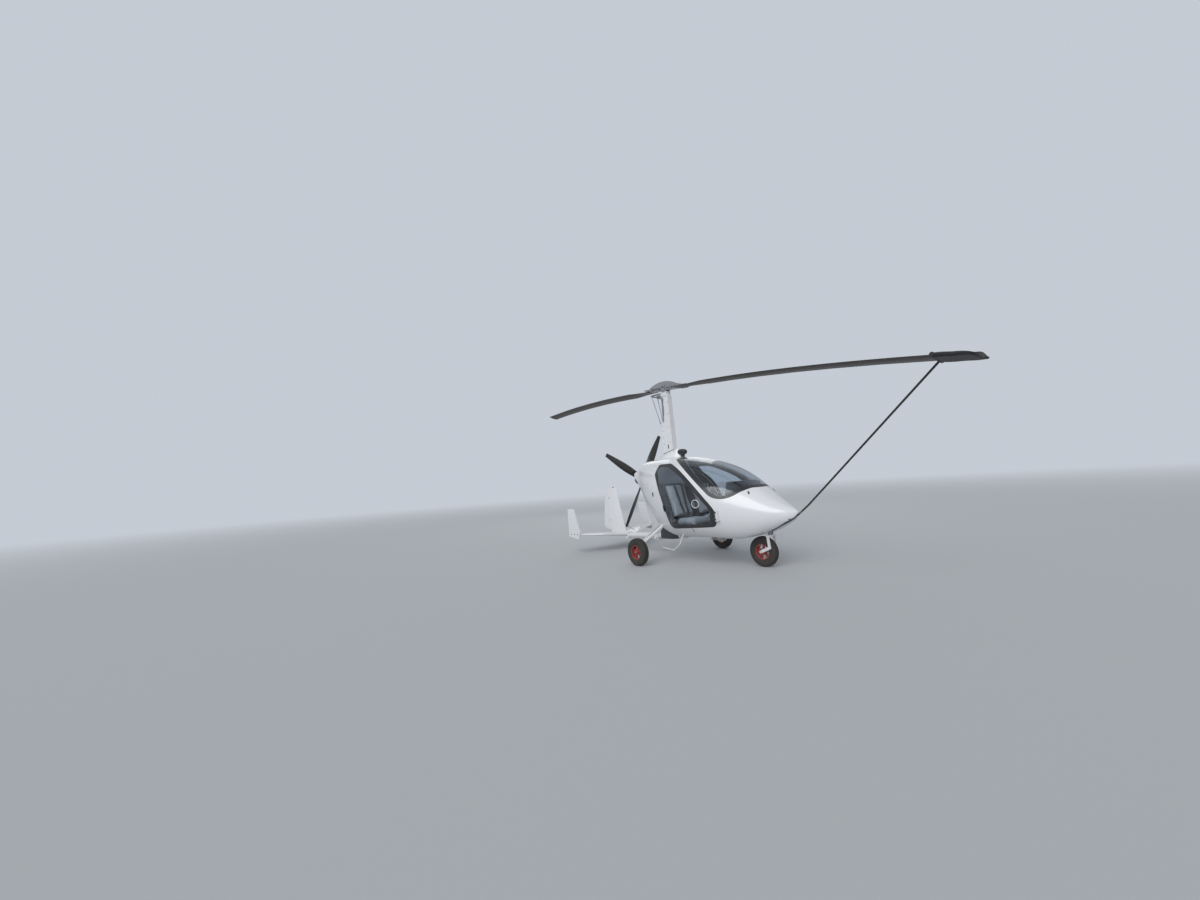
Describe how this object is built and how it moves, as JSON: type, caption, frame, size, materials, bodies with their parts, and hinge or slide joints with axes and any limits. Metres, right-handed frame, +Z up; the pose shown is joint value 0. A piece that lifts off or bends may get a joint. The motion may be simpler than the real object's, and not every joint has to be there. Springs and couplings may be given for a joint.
{
  "type": "gyrocopter",
  "caption": "Two-seat enclosed gyrocopter on three wheels, with a two-blade rotor, a pusher propeller and a triple-finned tail.",
  "frame": {"origin": "on the ground under the middle of the rotor's span", "axes": "+X to the nose, +Y to port, +Z up; in millimetres in the source, metres in the record"},
  "size_m": [8.318, 1.944, 2.889],
  "materials": {
    "body_white": "gloss",
    "trim_black": "satin",
    "clear_glazing": "clear",
    "bare_aluminium": "satin",
    "engine_metal": "matt",
    "propeller_dark": "satin",
    "rubber_black": "matt",
    "steel_plain": "satin",
    "rotor_dark": "satin",
    "black_cloth": "matt",
    "tyre_rubber": "matt",
    "rim_red": "gloss",
    "cabin_dark": "matt",
    "seat_cloth": "matt"
  },
  "bodies": {
    "airframe": {"cabin_shell": "body_white", "windscreen_trim": "trim_black", "windscreen_pane": "clear_glazing", "door_hinges": "trim_black", "cowl_upper": "body_white", "cowl_lower": "body_white", "firewall": "bare_aluminium", "engine_block": "engine_metal", "mast": "body_white", "mast_fairing": "body_white", "mast_seal": "rubber_black", "rotor_head": "bare_aluminium", "head_controls": "steel_plain", "prerotator_shaft": "steel_plain", "main_leg_starboard": "body_white", "main_leg_port": "body_white", "steering_housing": "steel_plain", "keel_fittings": "body_white", "keel_tube": "body_white", "stabiliser": "body_white", "tip_fin_starboard": "body_white", "tip_fin_port": "body_white", "tail_fin": "body_white", "rudder_hinges": "steel_plain", "cabin_floor": "cabin_dark", "seat_starboard": "seat_cloth", "seat_port": "seat_cloth", "seat_bases": "cabin_dark", "instrument_panel": "cabin_dark", "control_sticks": "cabin_dark", "rudder_pedals": "bare_aluminium", "roof_cap": "trim_black", "boarding_steps": "body_white"},
    "rotor": {"rotor_tower": "bare_aluminium", "rotor_hub_bar": "bare_aluminium", "rotor_blade_fore": "rotor_dark", "rotor_blade_aft": "rotor_dark", "blade_sock": "black_cloth"},
    "propeller": {"propeller_blade_1": "propeller_dark", "propeller_blade_2": "propeller_dark", "propeller_blade_3": "propeller_dark", "propeller_blade_4": "propeller_dark", "propeller_hub": "bare_aluminium", "propeller_spinner": "propeller_dark"},
    "main_wheel_starboard": {"main_tyre_starboard": "tyre_rubber", "main_rim_starboard": "rim_red"},
    "main_wheel_port": {"main_tyre_port": "tyre_rubber", "main_rim_port": "rim_red"},
    "steering_fork": {"nose_fork": "body_white"},
    "nose_wheel": {"nose_tyre": "tyre_rubber", "nose_rim": "rim_red"},
    "door_starboard": {"door_frame_starboard": "trim_black", "door_pane_starboard": "clear_glazing"},
    "door_port": {"door_frame_port": "trim_black", "door_pane_port": "clear_glazing"},
    "rudder": {"rudder": "body_white"}
  },
  "joints": [
    {"name": "rotor_spin", "type": "hinge", "parent": "airframe", "child": "rotor", "pos_m": [0.01816, 0, 2.695], "axis": [0.0941, 0, 0.9956], "continuous": true},
    {"name": "propeller_spin", "type": "hinge", "parent": "airframe", "child": "propeller", "pos_m": [-0.7, 0, 1.235], "axis": [1, 0, 0], "continuous": true},
    {"name": "main_wheel_starboard_spin", "type": "hinge", "parent": "airframe", "child": "main_wheel_starboard", "pos_m": [0.136, -0.918, 0.197], "axis": [0, 1, 0], "continuous": true},
    {"name": "main_wheel_port_spin", "type": "hinge", "parent": "airframe", "child": "main_wheel_port", "pos_m": [0.136, 0.918, 0.197], "axis": [0, 1, 0], "continuous": true},
    {"name": "nose_steering", "type": "hinge", "parent": "airframe", "child": "steering_fork", "pos_m": [1.725, 0, 0.42], "axis": [0, 0, 1], "range_deg": [-30, 30]},
    {"name": "nose_wheel_spin", "type": "hinge", "parent": "steering_fork", "child": "nose_wheel", "pos_m": [1.603, 0, 0.197], "axis": [0, 1, 0], "continuous": true},
    {"name": "door_starboard_open", "type": "hinge", "parent": "airframe", "child": "door_starboard", "pos_m": [1.312, -0.54543, 0.7], "axis": [0, 0, 1], "range_deg": [0, 70]},
    {"name": "door_port_open", "type": "hinge", "parent": "airframe", "child": "door_port", "pos_m": [1.312, 0.54543, 0.7], "axis": [0, 0, -1], "range_deg": [0, 70]},
    {"name": "rudder_swing", "type": "hinge", "parent": "airframe", "child": "rudder", "pos_m": [-1.726, 0, 0.725], "axis": [0, 0, 1], "range_deg": [-25, 25]}
  ]
}
